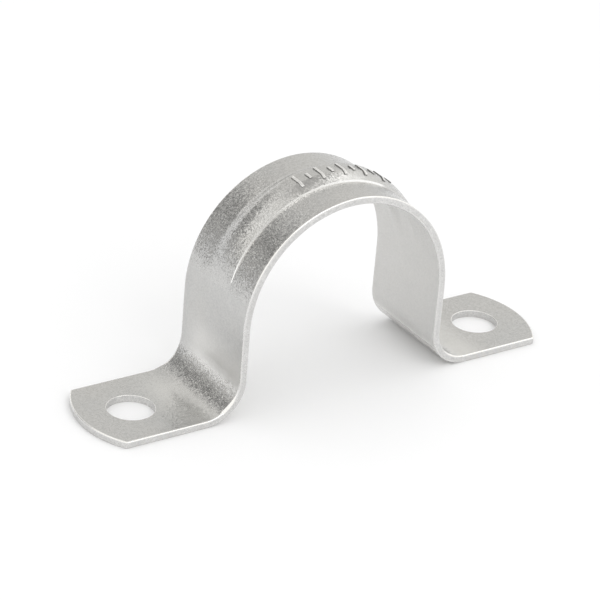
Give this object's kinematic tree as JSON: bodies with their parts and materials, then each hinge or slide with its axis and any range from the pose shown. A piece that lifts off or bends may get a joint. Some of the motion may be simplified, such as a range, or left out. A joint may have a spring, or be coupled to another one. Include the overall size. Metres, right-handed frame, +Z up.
{
  "type": "two-hole conduit strap",
  "caption": "Folded sheet-steel saddle with a raised rib over its arch and flat, round-ended feet with screw holes, for holding conduit against a surface.",
  "frame": {"origin": "on the mounting surface, midway between the feet and between the strip's edges", "axes": "+X from foot to foot, +Y along the conduit, +Z up from the mounting surface"},
  "size_m": [0.1188, 0.0254, 0.0514],
  "materials": {
    "plated_steel": "satin"
  },
  "bodies": {
    "root": {"strap": "plated_steel"}
  },
  "joints": []
}
